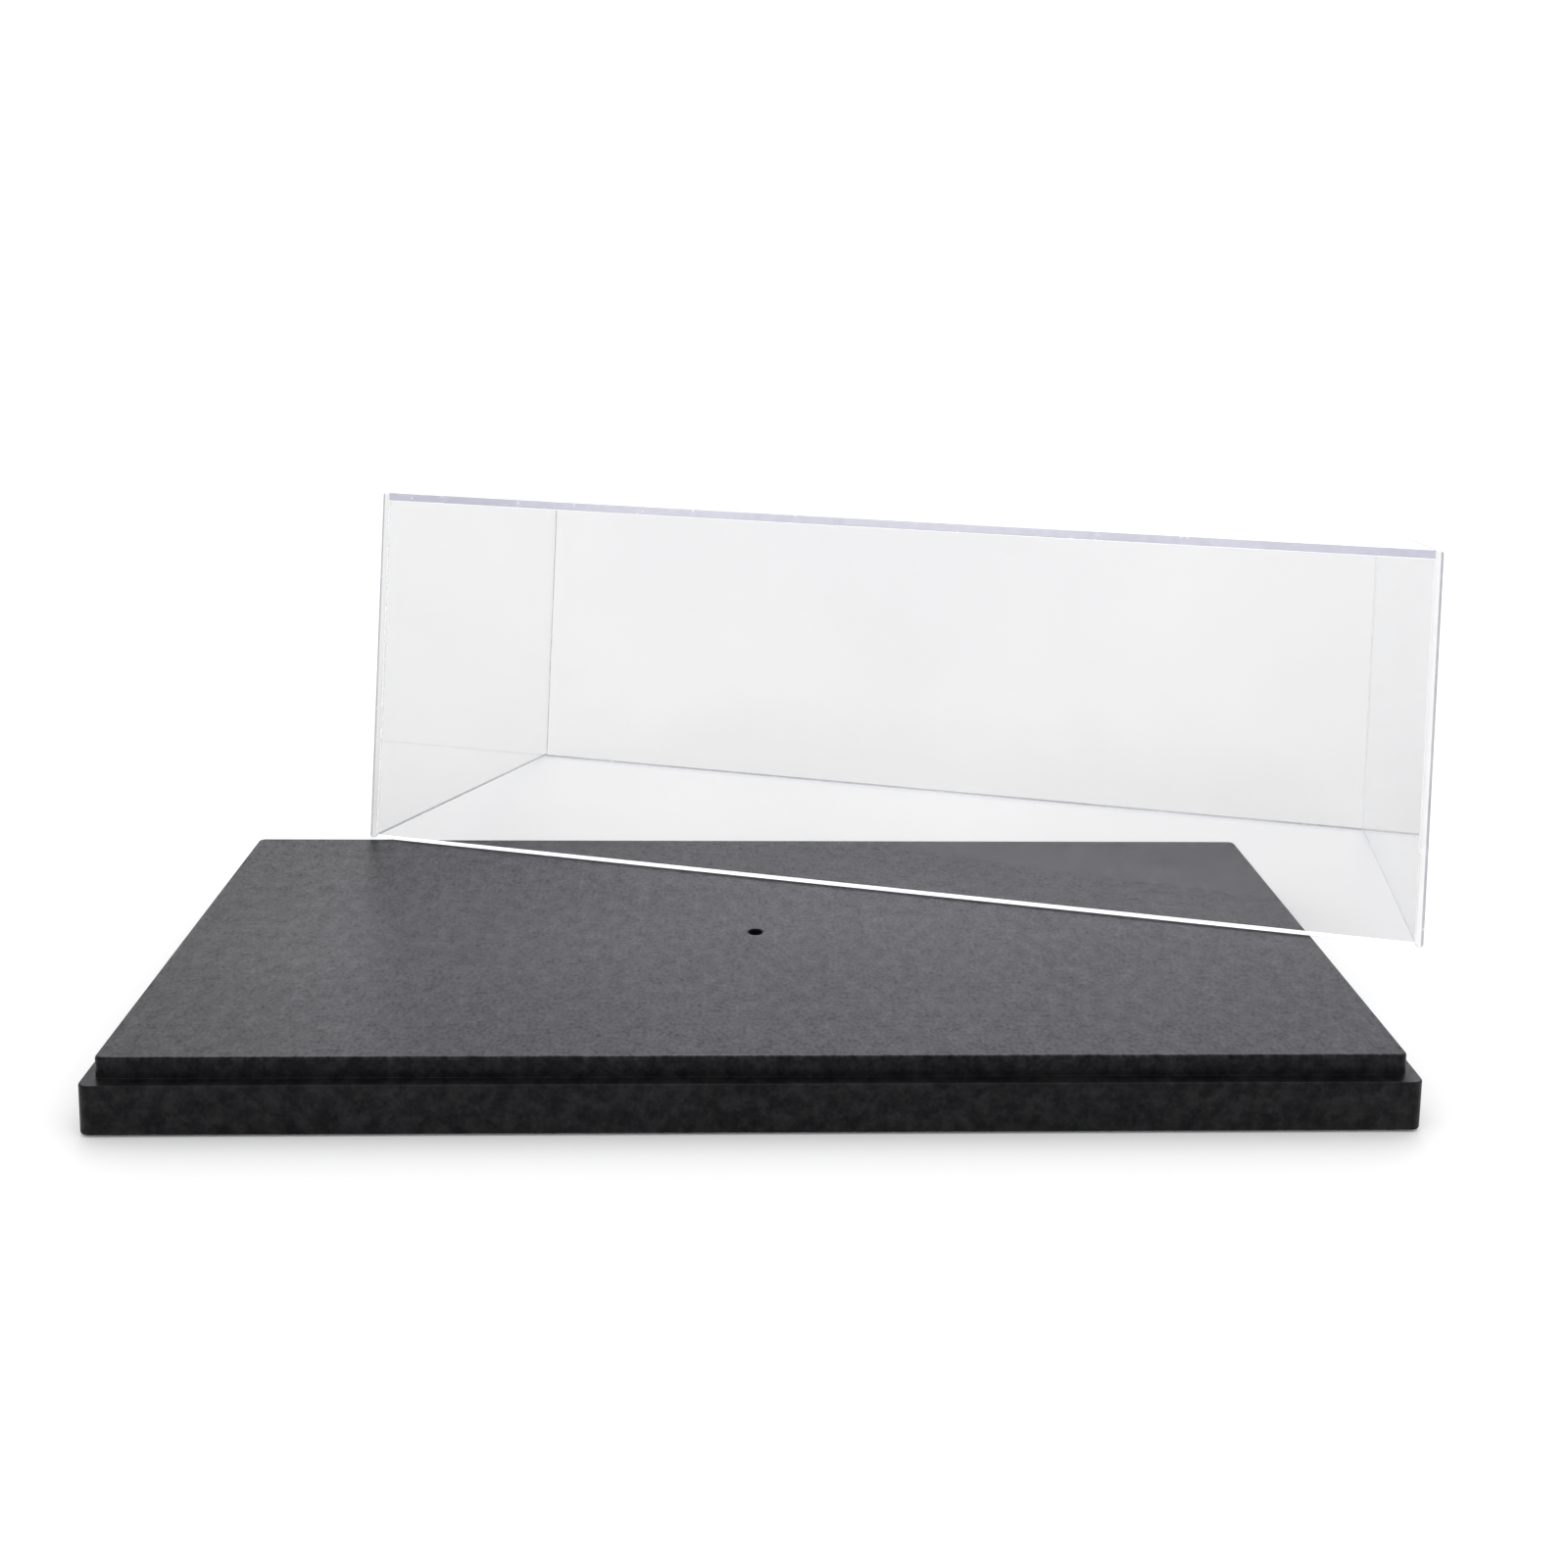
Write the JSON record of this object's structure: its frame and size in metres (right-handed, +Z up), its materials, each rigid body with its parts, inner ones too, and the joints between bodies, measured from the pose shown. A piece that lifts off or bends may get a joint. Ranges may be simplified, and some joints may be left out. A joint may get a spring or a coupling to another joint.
{
  "type": "display case",
  "caption": "Rectangular display case: a low two-tier black base with a central fixing hole, and a clear box cover that lifts off, shown leaning on the base.",
  "frame": {"origin": "the mouth of the fixing hole, at the centre of the deck's top face; the table is 14 mm below it", "axes": "+X along the base's length, to the right as seen from the front; +Y from front to back; +Z up, along the fixing hole"},
  "size_m": [0.3042, 0.2408, 0.1001],
  "materials": {
    "base_plastic": "black ABS moulding, fine satin texture with a soft sheen",
    "foot_rubber": "dull black self-adhesive rubber",
    "clear_sheet": "clear polished acrylic sheet with pale lavender-grey edges"
  },
  "bodies": {
    "base": {"base_shell": "base_plastic", "foot_front_left": "foot_rubber", "foot_front_right": "foot_rubber", "foot_rear_left": "foot_rubber", "foot_rear_right": "foot_rubber"},
    "cover": {"front_panel": "clear_sheet", "back_panel": "clear_sheet", "left_panel": "clear_sheet", "right_panel": "clear_sheet", "top_panel": "clear_sheet"}
  },
  "joints": [
    {"name": "cover_lift", "type": "slide", "parent": "base", "child": "cover", "axis": [0, 0, 1], "range_m": [0, 0.1]}
  ]
}
